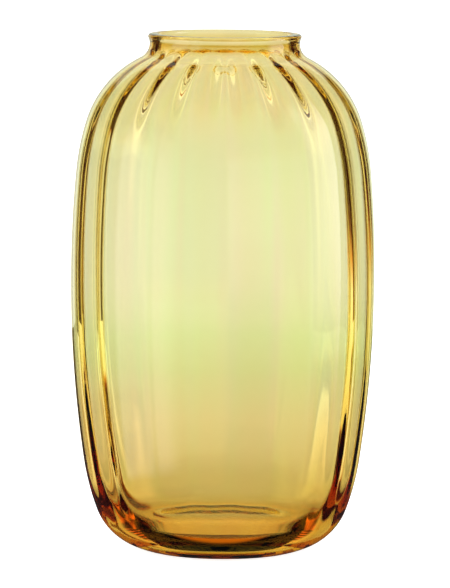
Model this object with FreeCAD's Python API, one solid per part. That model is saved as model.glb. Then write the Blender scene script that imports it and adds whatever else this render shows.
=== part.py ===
"""Optic-blown glass vase, one continuous piece of glass.

The vase stands on a narrow ground ring at z = 0, with its axis on Z and its front towards -Y. From the foot
the wall swells through a rounded heel into a tall, nearly straight belly, closes in over a round shoulder and
ends in a short waisted neck with a slightly turned-out lip. Both faces of the wall carry the shallow vertical
ribs of an optic mould: they start under the lip, run down the body with a slight twist and die out in the heel.

The outline of each face is a chain of tangent arcs in the (radius, height) half-plane. Rings of control points
on that outline, moved in and out by the ribs, carry one smooth spline surface from the foot, over the lip, to
the inside bottom.
"""
import FreeCAD, Part
import math
import os

# Overall size, millimetres
HEIGHT = 255.0
BELLY_RADIUS = 75.1
NECK_RADIUS = 37.0

# Glass thickness, millimetres
WALL = 3.0
NECK_WALL = 4.5
BASE_THICKNESS = 9.5

# The belly is straight between these two heights
BELLY_LOW = 134.0
BELLY_HIGH = 137.0

# Outline arcs as (radius, turn in degrees)
OUTER_TO_SHOULDER = [(558.0, 5.2), (117.5, 12.3)]
OUTER_SHOULDER = 51.8
OUTER_FILLET = 8.0
INNER_TO_SHOULDER = [(537.6, 5.2), (110.0, 12.3)]
INNER_SHOULDER = 50.7
INNER_FILLET = 11.9
LIP_FLARE = 27.0
LIP_ROUND = 1.5
OUTER_TO_FOOT = [(594.0, 8.6), (126.5, 11.8), (30.7, 46.9)]
SOLE_RADIUS = 49.4
INNER_TO_HEEL = 13.7
INNER_HEEL = [(56.0, 26.0), (21.0, 50.3)]

# Underside: width of the ground ring, and how far the middle is pushed up
FOOT_RING_WIDTH = 3.5
KICK = 2.5

# Ribs: number, depth from crest to groove on each face, and the angle of one crest at the foot from the front
RIBS = 21
OUTER_RIB_DEPTH = 0.5
INNER_RIB_DEPTH = 1.6
RIB_TURN = -3.2
TWIST = 5.6
RIB_TOP = 247.0
RIB_TOP_FADE = 9.0
RIB_BOTTOM = 10.0
RIB_BOTTOM_FADE = 60.0

# The ribs are a little shallower round this height of the belly
BELLY_EASE = 0.20
BELLY_EASE_HEIGHT = 115.0
BELLY_EASE_SPREAD = 60.0

# Density of the control rings and of the points round each rib
RINGS_PER_DEGREE = 0.16
MIN_RINGS_PER_ARC = 4
POINTS_PER_RIB = 6
DEGREE = 3
LEVEL_TOLERANCE = 1e-6

UP = 90.0
DOWN = -90.0
INWARD = 180.0


class Outline:
    """A chain of tangent arcs and straights. Headings are degrees from outward, towards up."""

    def __init__(self, radius, height, heading):
        self.radius = radius
        self.height = height
        self.heading = heading
        self.points = [(radius, height)]

    def move_to(self, radius, height):
        self.radius = radius
        self.height = height
        self.points.append((radius, height))

    def arc(self, arc_radius, turn):
        """Turn left by a positive angle and right by a negative one."""
        side = math.copysign(arc_radius, turn)
        start = math.radians(self.heading)
        centre_radius = self.radius - side * math.sin(start)
        centre_height = self.height + side * math.cos(start)
        rings = max(MIN_RINGS_PER_ARC, math.ceil(abs(turn) * RINGS_PER_DEGREE))
        for ring in range(1, rings + 1):
            angle = start + math.radians(turn) * ring / rings
            self.move_to(centre_radius + side * math.sin(angle), centre_height - side * math.cos(angle))
        self.heading += turn


def upper_outline(radius, arcs, shoulder, fillet, neck_radius):
    """Belly to upright neck. The shoulder turns until the neck fillet ends upright at neck_radius."""
    outline = Outline(radius, BELLY_HIGH, UP)
    for arc_radius, turn in arcs:
        outline.arc(arc_radius, turn)
    lean = outline.heading - UP
    centre = outline.radius - shoulder * math.cos(math.radians(lean))
    full = (neck_radius - centre + fillet) / (shoulder + fillet)
    outline.arc(shoulder, math.degrees(math.acos(full)) - lean)
    outline.arc(fillet, UP - outline.heading)
    return outline


def outer_upper_outline():
    return upper_outline(BELLY_RADIUS, OUTER_TO_SHOULDER, OUTER_SHOULDER, OUTER_FILLET, NECK_RADIUS)


def inner_upper_outline():
    """The wall thickens from the belly to the neck, so the inside has arcs of its own."""
    neck = NECK_RADIUS - NECK_WALL
    return upper_outline(BELLY_RADIUS - WALL, INNER_TO_SHOULDER, INNER_SHOULDER, INNER_FILLET, neck)


def add_lip(outline):
    """The waist turns out to the lip, whose two edges are round and whose top is narrow and flat."""
    flare = math.sin(math.radians(LIP_FLARE))
    rise = HEIGHT - outline.height - LIP_ROUND * (1.0 + flare)
    outline.arc(rise / flare, -LIP_FLARE)
    outline.arc(LIP_ROUND, INWARD - outline.heading)
    outline.move_to(NECK_RADIUS - NECK_WALL + LIP_ROUND, HEIGHT)
    outline.arc(LIP_ROUND, UP)


def outer_lower_outline():
    """Belly down to the foot, where the sole arc reaches z = 0."""
    outline = Outline(BELLY_RADIUS, BELLY_LOW, DOWN)
    for arc_radius, turn in OUTER_TO_FOOT:
        outline.arc(arc_radius, -turn)
    centre_height = outline.height - SOLE_RADIUS * math.cos(math.radians(outline.heading))
    foot_heading = -math.degrees(math.acos(-centre_height / SOLE_RADIUS))
    outline.arc(SOLE_RADIUS, foot_heading - outline.heading)
    return outline


def inner_lower_outline():
    """Belly down to the flat inside bottom. The first arc takes up the height that the heel leaves."""
    drop = BELLY_LOW - BASE_THICKNESS
    lean = INNER_TO_HEEL
    for arc_radius, turn in INNER_HEEL:
        drop -= arc_radius * (math.sin(math.radians(lean + turn)) - math.sin(math.radians(lean)))
        lean += turn
    outline = Outline(BELLY_RADIUS - WALL, BELLY_LOW, DOWN)
    outline.arc(drop / math.sin(math.radians(INNER_TO_HEEL)), -INNER_TO_HEEL)
    for arc_radius, turn in INNER_HEEL:
        outline.arc(arc_radius, -turn)
    return outline


def smooth_step(x):
    x = min(max(x, 0.0), 1.0)
    return x * x * (3.0 - 2.0 * x)


def rib_strength(height):
    """Nearly 1 along the body, easing at the belly and fading to 0 under the lip and in the heel."""
    top = smooth_step((RIB_TOP - height) / RIB_TOP_FADE)
    bottom = smooth_step((height - RIB_BOTTOM) / RIB_BOTTOM_FADE)
    ease = BELLY_EASE * math.exp(-((height - BELLY_EASE_HEIGHT) / BELLY_EASE_SPREAD) ** 2)
    return top * bottom * (1.0 - ease)


def ring_points(radius, height, crest_gain, groove_loss):
    """One ring of control points. Crests add to the radius and grooves take from it."""
    count = RIBS * POINTS_PER_RIB
    strength = rib_strength(height)
    crest = math.radians(DOWN + RIB_TURN - TWIST * height / HEIGHT)
    points = []
    for index in range(count):
        angle = 2.0 * math.pi * index / count
        wave = 0.5 + 0.5 * math.cos(RIBS * (angle - crest))
        local = radius + strength * (crest_gain * wave - groove_loss * (1.0 - wave))
        points.append(FreeCAD.Vector(local * math.cos(angle), local * math.sin(angle), height))
    return points


def wall_rings():
    """Control rings from the foot's edge, over the lip, to the edge of the inside bottom."""
    outside = outer_upper_outline()
    add_lip(outside)
    outer = list(reversed(outer_lower_outline().points)) + outside.points
    inner = list(reversed(inner_upper_outline().points)) + inner_lower_outline().points
    rings = [ring_points(radius, height, 0.0, OUTER_RIB_DEPTH) for radius, height in outer]
    half = 0.5 * INNER_RIB_DEPTH
    rings += [ring_points(radius, height, -half, -half) for radius, height in inner]
    return rings


def wall_face(rings):
    around = len(rings[0])
    along = len(rings)
    poles = [[ring[index] for ring in rings] for index in range(around)]
    knots_along = list(range(along - DEGREE + 1))
    mults_along = [DEGREE + 1] + [1] * (len(knots_along) - 2) + [DEGREE + 1]
    surface = Part.BSplineSurface()
    surface.buildFromPolesMultsKnots(
        poles, [1] * (around + 1), mults_along, list(range(around + 1)), knots_along,
        True, False, DEGREE, DEGREE,
    )
    return surface.toShape()


def end_disc(wall, height):
    """The flat disc inside the wall surface's closed edge at this height."""
    for edge in wall.Edges:
        box = edge.BoundBox
        if box.ZLength < LEVEL_TOLERANCE and abs(box.ZMin - height) < LEVEL_TOLERANCE:
            return Part.Face(Part.Wire([edge]))
    raise RuntimeError("the wall has no flat edge at %.3f" % height)


def glass_body():
    wall = wall_face(wall_rings())
    underside = end_disc(wall, 0.0)
    bottom = end_disc(wall, BASE_THICKNESS)
    shell = Part.makeShell([wall, underside, bottom])
    shell.sewShape()
    solid = Part.makeSolid(shell)
    if solid.Volume < 0.0:
        solid.reverse()
    return solid


def kick_up(foot_radius):
    """The ball whose cap hollows the underside inside the ground ring."""
    rim = foot_radius - FOOT_RING_WIDTH
    ball_radius = (rim ** 2 + KICK ** 2) / (2.0 * KICK)
    return Part.makeSphere(ball_radius, FreeCAD.Vector(0.0, 0.0, KICK - ball_radius))


def vase():
    foot_radius = outer_lower_outline().radius
    return glass_body().cut(kick_up(foot_radius))


def main():
    os.makedirs("parts", exist_ok=True)
    shape = vase()
    solids = shape.Solids
    if len(solids) != 1 or not solids[0].isValid():
        raise RuntimeError("the vase is not one valid solid")
    solids[0].exportStep("parts/vase.step")
    box = solids[0].BoundBox
    print("vase: %.1f x %.1f x %.1f mm" % (box.XLength, box.YLength, box.ZLength))


main()
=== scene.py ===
"""Optic-blown amber glass vase in a small white studio.

The vase stands at the origin with its axis on Z and its front towards -Y. Its glass is one closed skin:
underside, ground ring, outside, lip, inside and inside bottom. The outline of each face is a chain of tangent
arcs, and the shallow ribs of the optic mould move both faces in and out.

The studio is white all round, where clear glass hardly shows. Tinted wings at the sides and in front are
painted shade that darkens what the glass bends in, and a dark canopy paints the same shade from above. A
coloured pool below the foot is painted light that stands for the light the base gathers, with painted streaks
of light beside the foot and a painted shadow, a dark crescent, under its front. The outside mirrors two
softboxes and a glow
behind the outline: painted highlights from glowing cards that light nothing else. Only the glass sees these
cards.
"""
import bpy
import math
import numpy as np
from mathutils import Matrix


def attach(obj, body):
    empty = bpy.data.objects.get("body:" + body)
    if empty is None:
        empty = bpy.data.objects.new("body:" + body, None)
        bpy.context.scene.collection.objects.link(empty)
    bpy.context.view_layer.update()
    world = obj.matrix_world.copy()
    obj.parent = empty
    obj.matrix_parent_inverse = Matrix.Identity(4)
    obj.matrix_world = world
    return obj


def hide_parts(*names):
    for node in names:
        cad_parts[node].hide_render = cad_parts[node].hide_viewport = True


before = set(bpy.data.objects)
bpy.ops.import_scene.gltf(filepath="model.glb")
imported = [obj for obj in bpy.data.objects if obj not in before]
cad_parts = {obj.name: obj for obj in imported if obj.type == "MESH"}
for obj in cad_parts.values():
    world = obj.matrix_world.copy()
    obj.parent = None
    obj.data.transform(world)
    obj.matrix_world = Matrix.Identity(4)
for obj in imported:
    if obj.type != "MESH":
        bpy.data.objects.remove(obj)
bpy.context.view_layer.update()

MM = 0.001

# Overall size, millimetres
HEIGHT = 255.0
BELLY_RADIUS = 75.1
NECK_RADIUS = 37.0

# Glass thickness, millimetres
WALL = 3.0
NECK_WALL = 4.5
BASE_THICKNESS = 9.5

# The belly is straight between these two heights
BELLY_LOW = 134.0
BELLY_HIGH = 137.0

# Outline arcs as (radius, turn in degrees)
OUTER_TO_SHOULDER = [(558.0, 5.2), (117.5, 12.3)]
OUTER_SHOULDER = 51.8
OUTER_FILLET = 8.0
INNER_TO_SHOULDER = [(537.6, 5.2), (110.0, 12.3)]
INNER_SHOULDER = 50.7
INNER_FILLET = 11.9
LIP_FLARE = 27.0
LIP_ROUND = 1.5
OUTER_TO_FOOT = [(594.0, 8.6), (126.5, 11.8), (30.7, 46.9)]
SOLE_RADIUS = 49.4
INNER_TO_HEEL = 13.7
INNER_HEEL = [(56.0, 26.0), (21.0, 50.3)]

# Underside: width of the ground ring, and how far the middle is pushed up
FOOT_RING_WIDTH = 3.5
KICK = 2.5

# Ribs: number, depth on each face, and the angle of one crest at the foot from the front
RIBS = 21
OUTER_RIB_DEPTH = 0.5
INNER_RIB_DEPTH = 1.6
BELLY_EASE = 0.20
BELLY_EASE_HEIGHT = 115.0
BELLY_EASE_SPREAD = 60.0
RIB_TURN = -3.2
TWIST = 5.6
RIB_TOP = 247.0
RIB_TOP_FADE = 9.0
RIB_BOTTOM = 10.0
RIB_BOTTOM_FADE = 60.0

# Front and back ribs are shallower below the shoulder: by what share, from which cosine of the angle to the
# front or back, and over which heights this fades out
RIB_CALM_SHARE = 0.75
RIB_CALM = (0.56, 0.70)
RIB_CALM_TOP = (204.0, 238.0)

# Mesh density, with one more ring just inside the foot's edge that keeps the ground ring's shading flat
POINTS_PER_RIB = 14
DEGREES_PER_RING = 3.2
LONGEST_STEP = 3.4
MIN_STEPS_PER_ARC = 4
KICK_RINGS = 12
BOTTOM_RINGS = 10
FOOT_EDGE = 0.6

UP = 90.0
DOWN = -90.0
INWARD = 180.0

# Glass: loss of red, green and blue per metre, and the colour of the skin from foot to lip, lighter and
# greener through the body, darker towards the foot and in a band at the lip
GLASS_IOR = 1.52
LOSS = (5.0, 18.0, 80.0)
SKIN = [
    (0.0, (0.82, 0.80, 0.72)),
    (0.10, (0.79, 0.78, 0.67)),
    (0.145, (0.88, 0.84, 0.71)),
    (0.204, (0.945, 0.90, 0.77)),
    (0.29, (0.92, 0.90, 0.75)),
    (0.38, (0.885, 0.965, 0.74)),
    (0.48, (0.97, 1.0, 0.86)),
    (0.58, (0.97, 1.0, 0.885)),
    (0.68, (0.965, 1.0, 0.87)),
    (0.76, (0.945, 0.985, 0.85)),
    (0.86, (0.985, 0.985, 0.84)),
    (0.962, (1.0, 1.0, 0.93)),
    (0.974, (0.82, 0.68, 0.30)),
    (0.988, (0.85, 0.74, 0.36)),
    (1.0, (1.0, 1.0, 0.82)),
]

# Cords: faint upright bands in the tint and the surface of blown glass
CORD_SCALE = (70.0, 70.0, 5.0)
CORD_DETAIL = 0.5
CORDS = [
    (0.38, (0.978, 1.0, 0.962)),
    (0.62, (1.0, 0.970, 0.978)),
]
CORD_RIPPLE = 0.10
CORD_RIPPLE_DEPTH = 0.0004

# The studio is in metres. Angles are degrees from straight behind the vase (+Y) towards +X. A pair of angles,
# heights or radii is the start and the end of a gradual change.

# Side wings: their place, and the angles over which they darken low down and high up. Near the table, the
# right one darkens only further round. The last two pairs are the heights where near-table gives way to low,
# and low to high.
WING_RADIUS = 0.8
WING_HEIGHT = 1.6
WING_START = 8.0
WING_END = 110.0
WING_END_LEFT = 66.0
WING_SHADE_LOW = (22.5, 28.0)
WING_SHADE_HIGH = (22.5, 27.0)
WING_SHADE_FOOT = (60.0, 70.0)
WING_FOOT = (0.04, 0.16)
WING_RISE = (0.32, 0.50)

# Front wing: low down it is dark between two angles, from a height on, and high up it is dark everywhere
FRONT_FROM = (172.0, 186.0)
FRONT_TO = (232.0, 242.0)
FRONT_SHADE = (0.02, 0.10)
FRONT_SHADE_HIGH = (0.40, 0.65)

CANOPY_RADIUS = 1.3

# How much stronger the light gets beside the straight view through, and over which angles
SIDE_GLOW = 0.50
SIDE_GLOW_RISE = (9.0, 22.0)

# Colour of the shade, from none to full
SHADE = [
    (0.0, (1.0, 1.0, 1.0)),
    (0.3, (0.72, 0.38, 0.12)),
    (0.6, (0.30, 0.07, 0.008)),
    (0.85, (0.08, 0.012, 0.001)),
    (1.0, (0.03, 0.005, 0.0)),
]

# Card just under the front of the foot: a painted shadow, a dark crescent from its straight edge on, which
# turns to orange painted light further forward, cut off at a reach from the axis and at a half width
FOOT_SHADE_LEVEL = -0.0002
FOOT_SHADE_EDGE = -0.0235
FOOT_SHADE_FRONT = (-0.0395, -0.0440)
FOOT_SHADE_WARM = (0.85, 0.24, 0.01)
FOOT_SHADE_REACH = 0.065
FOOT_SHADE_HALF = 0.060

# Streaks of painted light beside the foot: how far across they start, and on each side where they end by
# radius and by y
CORNER_START = (0.044, 0.058)
CORNER_LEFT = [(0.13, 0.17), (0.04, 0.07)]
CORNER_RIGHT = [(0.105, 0.13), (0.03, 0.06)]
CORNER_DARK = (0.06, 0.014, 0.002)
CORNER_BRIGHT = (1.7, 0.30, 0.02)

# Their pattern, radians per metre: waves across that bend along y, a weaker slanting wave as (share, across,
# along), and the values of the sum between which it turns from dark to bright
STREAK_WAVE = 1100.0
STREAK_BEND = 110.0
STREAK_SLANT = (0.4, 240.0, 150.0)
STREAK_LIT = (0.1, 1.1)

# Pool of light below the vase: its depth, its reach, and its colour by radius in metres
POOL_DEPTH = 0.04
POOL_REACH = 0.8
POOL = [
    (0.0, (0.70, 0.50, 0.18)),
    (0.02, (0.80, 0.55, 0.18)),
    (0.04, (1.05, 0.70, 0.28)),
    (0.08, (1.50, 1.05, 0.50)),
    (0.10, (1.15, 0.80, 0.36)),
    (0.12, (0.98, 0.76, 0.42)),
    (0.16, (0.98, 0.88, 0.65)),
    (0.25, (1.0, 0.95, 0.85)),
    (0.45, (1.0, 1.0, 1.0)),
    (0.8, (1.0, 1.0, 1.0)),
]
POOL_SPLIT = 0.16
POOL_GLOW = (0.14, 0.20)

# Shade on the pool, from a radius outward and up to an angle. Close to the foot it covers the larger angles
# on the right and the smaller ones on the left. Past POOL_BEYOND it reaches further out, and on the left so
# does a narrow band next to the straight view through.
POOL_NEAR = (0.10, 0.125)
POOL_END = (108.0, 114.0)
POOL_CLOSE = (0.20, 0.25)
POOL_CLOSE_RIGHT = (44.0, 56.0)
POOL_CLOSE_LEFT = (33.0, 40.0)
POOL_BEYOND = (64.0, 70.0)
POOL_BEYOND_LEFT_OUT = (0.30, 0.42)
POOL_OUTER_LEFT = (30.0, 35.0)
POOL_OUT = (0.45, 0.60)

# Painted highlights that the outside mirrors: place as (radius, first angle, last angle, low, high),
# strength, and the share of the width and of the height over which each edge fades
RIM_GLOW = (0.9, -35.0, 29.0, 0.0, 1.6)
RIM_GLOW_COLOUR = (0.76, 0.8, 0.64)
RIM_GLOW_FADE = (0.08, 0.08)
SOFTBOX_RIGHT = (0.7, 79.0, 116.0, -0.15, 1.0)
SOFTBOX_RIGHT_LIGHT = 3.0
SOFTBOX_RIGHT_FADE = [(0.06, 0.4), (0.30, 0.5)]
SOFTBOX_LEFT = (0.7, -153.0, -91.0, -0.26, 0.6)
SOFTBOX_LEFT_LIGHT = 1.5
SOFTBOX_LEFT_FADE = [(0.3, 0.1), (0.06, 0.4)]

# A darker upright stripe in the left softbox: by what share, where, and how wide
STRIPE_SHARE = 0.55
STRIPE_PLACE = 0.456
STRIPE_WIDTH = 0.035

# Floor, and how much of the white world the glass mirrors
FLOOR_HALF = 12.0
FLOOR_LEVEL = -0.0005
FLOOR_WHITE = 0.9
FLOOR_GLOW = 0.9
MIRRORED_WHITE = 0.03

# Camera: metres, millimetres for the lens, degrees for the roll
CAMERA_DISTANCE = 2.5
CAMERA_HEIGHT = 0.4
CAMERA_LENS = 311.9
CAMERA_SENSOR = 36.0
CAMERA_SHIFT = (0.0036, -0.0040)
CAMERA_ROLL = 0.45
CAMERA_CLIP_END = 50.0

# How often light may bounce
BOUNCES = 24
TRANSPARENT_BOUNCES = 16


def blend(table, at):
    """Linear reading of a (position, colour) table."""
    places = [row[0] for row in table]
    return tuple(float(np.interp(at, places, [row[1][band] for row in table])) for band in range(3))


class Outline:
    """A chain of tangent arcs and straights. Headings are degrees from outward, towards up."""

    def __init__(self, radius, height, heading):
        self.radius = radius
        self.height = height
        self.heading = heading
        self.points = [(radius, height)]

    def move_to(self, radius, height):
        self.radius = radius
        self.height = height
        self.points.append((radius, height))

    def arc(self, arc_radius, turn):
        """Turn left by a positive angle and right by a negative one."""
        side = math.copysign(arc_radius, turn)
        start = math.radians(self.heading)
        centre_radius = self.radius - side * math.sin(start)
        centre_height = self.height + side * math.cos(start)
        length = arc_radius * abs(math.radians(turn))
        by_turn = math.ceil(abs(turn) / DEGREES_PER_RING)
        by_length = math.ceil(length / LONGEST_STEP)
        steps = max(MIN_STEPS_PER_ARC, by_turn, by_length)
        for step in range(1, steps + 1):
            angle = start + math.radians(turn) * step / steps
            self.move_to(centre_radius + side * math.sin(angle), centre_height - side * math.cos(angle))
        self.heading += turn


def upper_outline(radius, arcs, shoulder, fillet, neck_radius):
    """Belly to upright neck. The shoulder turns until the neck fillet ends upright at the neck's radius."""
    outline = Outline(radius, BELLY_HIGH, UP)
    for arc_radius, turn in arcs:
        outline.arc(arc_radius, turn)
    lean = outline.heading - UP
    centre = outline.radius - shoulder * math.cos(math.radians(lean))
    full = (neck_radius - centre + fillet) / (shoulder + fillet)
    outline.arc(shoulder, math.degrees(math.acos(full)) - lean)
    outline.arc(fillet, UP - outline.heading)
    return outline


def outside_upper():
    return upper_outline(BELLY_RADIUS, OUTER_TO_SHOULDER, OUTER_SHOULDER, OUTER_FILLET, NECK_RADIUS)


def inside_upper():
    return upper_outline(
        BELLY_RADIUS - WALL, INNER_TO_SHOULDER, INNER_SHOULDER, INNER_FILLET, NECK_RADIUS - NECK_WALL)


def add_lip(outline):
    flare = math.sin(math.radians(LIP_FLARE))
    rise = HEIGHT - outline.height - LIP_ROUND * (1.0 + flare)
    outline.arc(rise / flare, -LIP_FLARE)
    outline.arc(LIP_ROUND, INWARD - outline.heading)
    outline.move_to(NECK_RADIUS - NECK_WALL + LIP_ROUND, HEIGHT)
    outline.arc(LIP_ROUND, UP)


def outside_lower():
    outline = Outline(BELLY_RADIUS, BELLY_LOW, DOWN)
    for arc_radius, turn in OUTER_TO_FOOT:
        outline.arc(arc_radius, -turn)
    centre_height = outline.height - SOLE_RADIUS * math.cos(math.radians(outline.heading))
    foot_heading = -math.degrees(math.acos(-centre_height / SOLE_RADIUS))
    outline.arc(SOLE_RADIUS, foot_heading - outline.heading)
    return outline


def inside_lower():
    drop = BELLY_LOW - BASE_THICKNESS
    lean = INNER_TO_HEEL
    for arc_radius, turn in INNER_HEEL:
        drop -= arc_radius * (math.sin(math.radians(lean + turn)) - math.sin(math.radians(lean)))
        lean += turn
    outline = Outline(BELLY_RADIUS - WALL, BELLY_LOW, DOWN)
    outline.arc(drop / math.sin(math.radians(INNER_TO_HEEL)), -INNER_TO_HEEL)
    for arc_radius, turn in INNER_HEEL:
        outline.arc(arc_radius, -turn)
    return outline


def smooth_step(x):
    x = min(max(x, 0.0), 1.0)
    return x * x * (3.0 - 2.0 * x)


def ramp_between(x, ends):
    return smooth_step((x - ends[0]) / (ends[1] - ends[0]))


def rib_strength(height):
    """Nearly 1 along the body, easing a little at the belly and fading to 0 under the lip and in the heel."""
    top = smooth_step((RIB_TOP - height) / RIB_TOP_FADE)
    bottom = smooth_step((height - RIB_BOTTOM) / RIB_BOTTOM_FADE)
    ease = BELLY_EASE * math.exp(-((height - BELLY_EASE_HEIGHT) / BELLY_EASE_SPREAD) ** 2)
    return top * bottom * (1.0 - ease)


AROUND = RIBS * POINTS_PER_RIB
ANGLES = 2.0 * math.pi * np.arange(AROUND) / AROUND


def ring(radius, height, crest_gain, groove_loss):
    """One ring of points. Crests add to the radius and grooves take from it."""
    low = 1.0 - ramp_between(height, RIB_CALM_TOP)
    start, full = RIB_CALM
    facing = np.clip((np.abs(np.sin(ANGLES)) - start) / (full - start), 0.0, 1.0)
    calm = 1.0 - RIB_CALM_SHARE * low * facing * facing * (3.0 - 2.0 * facing)
    strength = rib_strength(height) * calm
    crest = math.radians(DOWN + RIB_TURN - TWIST * height / HEIGHT)
    wave = 0.5 + 0.5 * np.cos(RIBS * (ANGLES - crest))
    local = radius + strength * (crest_gain * wave - groove_loss * (1.0 - wave))
    return np.stack([local * np.cos(ANGLES), local * np.sin(ANGLES), np.full(AROUND, height)], 1)


def glass_rings():
    up = outside_upper()
    add_lip(up)
    outer = list(reversed(outside_lower().points)) + up.points
    inner = list(reversed(inside_upper().points)) + inside_lower().points
    foot = outer[0][0]
    rim = foot - FOOT_RING_WIDTH
    ball = (rim ** 2 + KICK ** 2) / (2.0 * KICK)
    rings = []
    for step in range(1, KICK_RINGS):
        radius = rim * step / KICK_RINGS
        rings.append(ring(radius, KICK - ball + math.sqrt(ball ** 2 - radius ** 2), 0.0, 0.0))
    rings.append(ring(rim, 0.0, 0.0, 0.0))
    rings.append(ring(foot - FOOT_EDGE, 0.0, 0.0, 0.0))
    rings += [ring(radius, height, 0.0, OUTER_RIB_DEPTH) for radius, height in outer]
    half = 0.5 * INNER_RIB_DEPTH
    rings += [ring(radius, height, -half, -half) for radius, height in inner]
    edge = inner[-1][0]
    for step in range(BOTTOM_RINGS - 1, 0, -1):
        rings.append(ring(edge * step / BOTTOM_RINGS, BASE_THICKNESS, 0.0, 0.0))
    return rings


def mesh_object(name, points, faces, smooth):
    mesh = bpy.data.meshes.new(name)
    mesh.from_pydata(points, [], faces)
    mesh.update()
    mesh.polygons.foreach_set("use_smooth", [smooth] * len(mesh.polygons))
    piece = bpy.data.objects.new(name, mesh)
    bpy.context.collection.objects.link(piece)
    return piece


def glass_body():
    rings = glass_rings()
    index = np.arange(AROUND)
    after = (index + 1) % AROUND
    faces = []
    for row in range(len(rings) - 1):
        low = row * AROUND
        high = low + AROUND
        faces += np.stack([low + index, low + after, high + after, high + index], 1).tolist()
    last = (len(rings) - 1) * AROUND
    under = len(rings) * AROUND
    bottom = under + 1
    faces += np.stack([after, index, np.full(AROUND, under)], 1).tolist()
    faces += np.stack([last + index, last + after, np.full(AROUND, bottom)], 1).tolist()
    ends = np.array([[0.0, 0.0, KICK], [0.0, 0.0, BASE_THICKNESS]])
    points = (np.concatenate(rings + [ends]) * MM).tolist()
    return mesh_object("vase_glass", points, faces, True)


def fill_ramp(ramp, table):
    """Give a new colour ramp the stops of a (position, colour) table."""
    stops = ramp.color_ramp.elements
    for stop, (position, colour) in zip(stops, (table[0], table[-1])):
        stop.position = position
        stop.color = (*colour, 1.0)
    for position, colour in table[1:-1]:
        stops.new(position).color = (*colour, 1.0)


def glass_material():
    material = bpy.data.materials.new("amber_glass")
    material.use_nodes = True
    tree = material.node_tree
    nodes = tree.nodes
    links = tree.links
    shader = nodes["Principled BSDF"]
    shader.inputs["Roughness"].default_value = 0.0
    shader.inputs["IOR"].default_value = GLASS_IOR
    shader.inputs["Transmission Weight"].default_value = 1.0
    place = nodes.new("ShaderNodeTexCoord")
    parts = nodes.new("ShaderNodeSeparateXYZ")
    links.new(place.outputs["Object"], parts.inputs[0])
    level = nodes.new("ShaderNodeMapRange")
    level.inputs["From Max"].default_value = HEIGHT * MM
    links.new(parts.outputs["Z"], level.inputs["Value"])
    ramp = nodes.new("ShaderNodeValToRGB")
    links.new(level.outputs["Result"], ramp.inputs["Fac"])
    fill_ramp(ramp, SKIN)
    streaks = nodes.new("ShaderNodeMapping")
    streaks.inputs["Scale"].default_value = CORD_SCALE
    links.new(place.outputs["Object"], streaks.inputs["Vector"])
    cords = nodes.new("ShaderNodeTexNoise")
    cords.inputs["Scale"].default_value = 1.0
    cords.inputs["Detail"].default_value = CORD_DETAIL
    links.new(streaks.outputs["Vector"], cords.inputs["Vector"])
    shift = nodes.new("ShaderNodeValToRGB")
    fill_ramp(shift, CORDS)
    links.new(cords.outputs["Fac"], shift.inputs["Fac"])
    tint = nodes.new("ShaderNodeMix")
    tint.data_type = "RGBA"
    tint.blend_type = "MULTIPLY"
    tint.inputs["Factor"].default_value = 1.0
    links.new(ramp.outputs["Color"], tint.inputs["A"])
    links.new(shift.outputs["Color"], tint.inputs["B"])
    links.new(tint.outputs["Result"], shader.inputs["Base Color"])
    ripple = nodes.new("ShaderNodeBump")
    ripple.inputs["Strength"].default_value = CORD_RIPPLE
    ripple.inputs["Distance"].default_value = CORD_RIPPLE_DEPTH
    links.new(cords.outputs["Fac"], ripple.inputs["Height"])
    links.new(ripple.outputs["Normal"], shader.inputs["Normal"])
    absorb = nodes.new("ShaderNodeVolumeAbsorption")
    density = max(LOSS)
    absorb.inputs["Color"].default_value = (*[1.0 - loss / density for loss in LOSS], 1.0)
    absorb.inputs["Density"].default_value = density
    links.new(absorb.outputs["Volume"], nodes["Material Output"].inputs["Volume"])
    return material


def glow_material(name):
    """Emission that shows each vertex's own colour."""
    material = bpy.data.materials.new(name)
    material.use_nodes = True
    nodes = material.node_tree.nodes
    nodes.clear()
    colour = nodes.new("ShaderNodeAttribute")
    colour.attribute_name = "glow"
    light = nodes.new("ShaderNodeEmission")
    out = nodes.new("ShaderNodeOutputMaterial")
    material.node_tree.links.new(colour.outputs["Color"], light.inputs["Color"])
    material.node_tree.links.new(light.outputs["Emission"], out.inputs["Surface"])
    return material


def card(name, columns, rows, place, mirrored=False):
    """A grid of glowing points, which the glass either mirrors or lets through.

    place(u, v) gives a point and its colour, with u and v from 0 to 1.
    """
    points = []
    colours = []
    for column in range(columns + 1):
        for row in range(rows + 1):
            point, colour = place(column / columns, row / rows)
            points.append(point)
            colours.append(colour)
    faces = []
    for column in range(columns):
        for row in range(rows):
            corner = column * (rows + 1) + row
            faces.append((corner, corner + rows + 1, corner + rows + 2, corner + 1))
    sheet = mesh_object(name, points, faces, False)
    glow = sheet.data.color_attributes.new("glow", "FLOAT_COLOR", "POINT")
    for entry, colour in zip(glow.data, colours):
        entry.color = (*colour, 1.0)
    sheet.data.materials.append(glow_material(name))
    sheet.visible_camera = False
    sheet.visible_shadow = False
    sheet.visible_diffuse = False
    sheet.visible_glossy = mirrored
    sheet.visible_transmission = not mirrored


def upright(radius, first, last, low, high, colour):
    """Place function of an upright curved card."""
    def place(u, v):
        angle = first + (last - first) * u
        turn = math.radians(angle)
        height = low + (high - low) * v
        return (radius * math.sin(turn), radius * math.cos(turn), height), colour(angle, height, u, v)
    return place


def flat(height, inner, outer, first, last, colour):
    """Place function of a flat ring sector."""
    def place(u, v):
        angle = first + (last - first) * u
        turn = math.radians(angle)
        radius = inner + (outer - inner) * v
        return (radius * math.sin(turn), radius * math.cos(turn), height), colour(angle, radius)
    return place


def edge_fade(x, widths):
    """0 at both ends of 0..1, rising to 1 over each end's width."""
    return smooth_step(x / widths[0]) * smooth_step((1.0 - x) / widths[1])


def side_glow(angle):
    """The light is stronger beside the straight view through, where the sides of the glass look."""
    return 1.0 + SIDE_GLOW * ramp_between(abs(angle), SIDE_GLOW_RISE)


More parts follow.
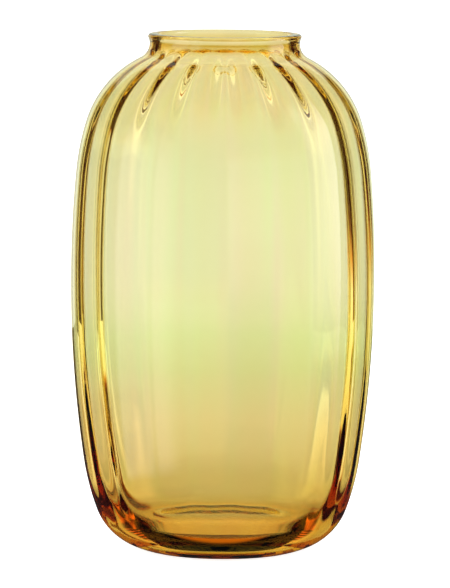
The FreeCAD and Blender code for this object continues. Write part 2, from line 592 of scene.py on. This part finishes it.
def wings():
    """Tinted shades at the sides and in front. The side ones fade out towards the straight view through."""
    def shade(angle, height, u, v):
        rise = ramp_between(height, WING_RISE)
        low = ramp_between(abs(angle), WING_SHADE_LOW)
        if angle > 0.0:
            foot = ramp_between(angle, WING_SHADE_FOOT)
            low = foot + (low - foot) * ramp_between(height, WING_FOOT)
        high = ramp_between(abs(angle), WING_SHADE_HIGH)
        return tuple(side_glow(angle) * band for band in blend(SHADE, low + (high - low) * rise))

    def front(angle, height, u, v):
        low = ramp_between(angle, FRONT_FROM) * (1.0 - ramp_between(angle, FRONT_TO))
        low *= ramp_between(height, FRONT_SHADE)
        return blend(SHADE, max(low, ramp_between(height, FRONT_SHADE_HIGH)))

    right = upright(WING_RADIUS, WING_START, WING_END, -POOL_DEPTH, WING_HEIGHT, shade)
    left = upright(WING_RADIUS, -WING_END_LEFT, -WING_START, -POOL_DEPTH, WING_HEIGHT, shade)
    ahead = upright(WING_RADIUS, WING_END, 360.0 - WING_END_LEFT, FRONT_SHADE[0], WING_HEIGHT, front)
    card("wing_right", columns=102, rows=40, place=right)
    card("wing_left", columns=60, rows=40, place=left)
    card("wing_front", columns=92, rows=60, place=ahead)


def canopy():
    """A black disc over the wings: painted shade that the glass bends in from above."""
    def black(angle, radius):
        return (0.0, 0.0, 0.0)

    card("canopy", columns=48, rows=1, place=flat(WING_HEIGHT, 0.0, CANOPY_RADIUS, -180.0, 180.0, black))


def pool_shade(angle, radius):
    """How far the pool is shaded, from 0 to 1."""
    side = abs(angle)
    whole = ramp_between(radius, POOL_NEAR) * (1.0 - ramp_between(side, POOL_END))
    whole *= ramp_between(side, WING_SHADE_LOW)
    beyond = ramp_between(side, POOL_BEYOND)
    close = 1.0 - ramp_between(radius, POOL_CLOSE)
    if angle > 0.0:
        beyond *= 1.0 - ramp_between(radius, POOL_OUT)
        return whole * max(close * ramp_between(side, POOL_CLOSE_RIGHT), beyond)
    beyond *= 1.0 - ramp_between(radius, POOL_BEYOND_LEFT_OUT)
    close *= 1.0 - ramp_between(side, POOL_CLOSE_LEFT)
    outer = (1.0 - ramp_between(side, POOL_OUTER_LEFT)) * (1.0 - ramp_between(radius, POOL_OUT))
    return whole * max(close, outer, beyond)


def corner_streaks(across, along):
    """Orange streaks of painted focused light on a dark ground of painted shade, beside the foot, from 0
    (dark) to 1 (bright).
    """
    share, slant_across, slant_along = STREAK_SLANT
    wave = math.sin(abs(across) * STREAK_WAVE + math.sin(along * STREAK_BEND))
    wave += share * math.sin(along * slant_along + across * slant_across)
    return ramp_between(wave, STREAK_LIT)


def pool():
    """The disc of painted light below the foot, finer near the foot, where the painted streaks are."""
    def shade(angle, radius):
        turn = math.radians(angle)
        across = radius * math.sin(turn)
        along = radius * math.cos(turn)
        glow = side_glow(angle) - 1.0 if abs(angle) < 90.0 else 0.0
        lit = 1.0 + glow * ramp_between(radius, POOL_GLOW)
        dim = blend(SHADE, pool_shade(angle, radius))
        colour = [lit * a * b for a, b in zip(blend(POOL, radius), dim)]
        reach, depth = CORNER_RIGHT if across > 0.0 else CORNER_LEFT
        corner = ramp_between(abs(across), CORNER_START) * (1.0 - ramp_between(radius, reach))
        corner *= 1.0 - ramp_between(along, depth)
        bright = corner_streaks(across, along)
        streak = [low + (high - low) * bright for low, high in zip(CORNER_DARK, CORNER_BRIGHT)]
        return tuple(a + (b - a) * corner for a, b in zip(colour, streak))

    near = flat(-POOL_DEPTH, 0.0, POOL_SPLIT, -180.0, 180.0, shade)
    far = flat(-POOL_DEPTH, POOL_SPLIT, POOL_REACH, -180.0, 180.0, shade)
    card("pool_near", columns=360, rows=140, place=near)
    card("pool_far", columns=180, rows=60, place=far)


def foot_shade():
    """The painted shadow, a dark crescent, and the orange band of painted light under the front of the foot.
    """
    def place(u, v):
        across = FOOT_SHADE_HALF * (2.0 * u - 1.0)
        far = -math.sqrt(FOOT_SHADE_REACH ** 2 - across ** 2)
        along = FOOT_SHADE_EDGE + (min(far, FOOT_SHADE_EDGE - MM) - FOOT_SHADE_EDGE) * v
        warm = ramp_between(along, FOOT_SHADE_FRONT)
        return (across, along, FOOT_SHADE_LEVEL), tuple(warm * band for band in FOOT_SHADE_WARM)

    card("foot_shade", columns=60, rows=40, place=place)


def softboxes():
    """Painted highlights that the outside mirrors: a softbox on each side and a glow behind the outline, as
    glowing cards that light nothing else.
    """
    def right(angle, height, u, v):
        across, up = SOFTBOX_RIGHT_FADE
        lit = SOFTBOX_RIGHT_LIGHT * edge_fade(u, across) * edge_fade(v, up)
        return (lit, lit, lit)

    def left(angle, height, u, v):
        across, up = SOFTBOX_LEFT_FADE
        lit = SOFTBOX_LEFT_LIGHT * edge_fade(u, across) * edge_fade(v, up)
        lit *= 1.0 - STRIPE_SHARE * math.exp(-((u - STRIPE_PLACE) / STRIPE_WIDTH) ** 2)
        return (lit, lit, lit)

    def rim(angle, height, u, v):
        lit = edge_fade(u, RIM_GLOW_FADE)
        return tuple(lit * band for band in RIM_GLOW_COLOUR)

    card("rim_glow", columns=40, rows=1, place=upright(*RIM_GLOW, rim), mirrored=True)
    card("softbox_right", columns=60, rows=40, place=upright(*SOFTBOX_RIGHT, right), mirrored=True)
    card("softbox_left", columns=40, rows=40, place=upright(*SOFTBOX_LEFT, left), mirrored=True)


def floor():
    """A white floor that the glass neither mirrors nor lets through."""
    half = FLOOR_HALF
    corners = [(x, y, FLOOR_LEVEL) for x, y in ((-half, -half), (half, -half), (half, half), (-half, half))]
    plane = mesh_object("studio_floor", corners, [(0, 1, 2, 3)], False)
    material = bpy.data.materials.new("floor_white")
    material.use_nodes = True
    shader = material.node_tree.nodes["Principled BSDF"]
    shader.inputs["Base Color"].default_value = (FLOOR_WHITE, FLOOR_WHITE, FLOOR_WHITE, 1.0)
    shader.inputs["Roughness"].default_value = 1.0
    shader.inputs["Specular IOR Level"].default_value = 0.0
    shader.inputs["Emission Color"].default_value = (1.0, 1.0, 1.0, 1.0)
    shader.inputs["Emission Strength"].default_value = FLOOR_GLOW
    plane.data.materials.append(material)
    plane.visible_glossy = False
    plane.visible_transmission = False


def surround():
    """White all round, but nearly dark in what the glass mirrors."""
    world = bpy.data.worlds.new("studio_white")
    bpy.context.scene.world = world
    world.use_nodes = True
    nodes = world.node_tree.nodes
    links = world.node_tree.links
    white = nodes["Background"]
    white.inputs["Color"].default_value = (1.0, 1.0, 1.0, 1.0)
    path = nodes.new("ShaderNodeLightPath")
    both = nodes.new("ShaderNodeMath")
    both.operation = "MULTIPLY"
    links.new(path.outputs["Is Glossy Ray"], both.inputs[0])
    links.new(path.outputs["Is Reflection Ray"], both.inputs[1])
    level = nodes.new("ShaderNodeMapRange")
    level.inputs["To Min"].default_value = 1.0
    level.inputs["To Max"].default_value = MIRRORED_WHITE
    links.new(both.outputs["Value"], level.inputs["Value"])
    links.new(level.outputs["Result"], white.inputs["Strength"])


def camera():
    """Aimed at the middle of the vase's height."""
    target = 0.5 * HEIGHT * MM
    tilt = math.atan((CAMERA_HEIGHT - target) / CAMERA_DISTANCE)
    lens = bpy.data.cameras.new("camera")
    lens.sensor_fit = "AUTO"
    lens.sensor_width = CAMERA_SENSOR
    lens.lens = CAMERA_LENS
    lens.clip_end = CAMERA_CLIP_END
    lens.shift_x, lens.shift_y = CAMERA_SHIFT
    view = bpy.data.objects.new("camera", lens)
    bpy.context.collection.objects.link(view)
    aim = Matrix.Rotation(math.radians(UP) - tilt, 4, "X")
    roll = Matrix.Rotation(math.radians(CAMERA_ROLL), 4, "Z")
    view.matrix_world = Matrix.Translation((0.0, -CAMERA_DISTANCE, CAMERA_HEIGHT)) @ aim @ roll
    bpy.context.scene.camera = view


def light_paths():
    scene = bpy.context.scene
    scene.view_settings.view_transform = "Standard"
    scene.cycles.max_bounces = BOUNCES
    scene.cycles.transmission_bounces = BOUNCES
    scene.cycles.glossy_bounces = BOUNCES
    scene.cycles.transparent_max_bounces = TRANSPARENT_BOUNCES
    scene.cycles.caustics_reflective = True
    scene.cycles.caustics_refractive = True


def build():
    piece = glass_body()
    piece.data.materials.append(glass_material())
    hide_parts("vase")
    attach(piece, "root")
    wings()
    canopy()
    pool()
    foot_shade()
    softboxes()
    floor()
    surround()
    camera()
    light_paths()


build()
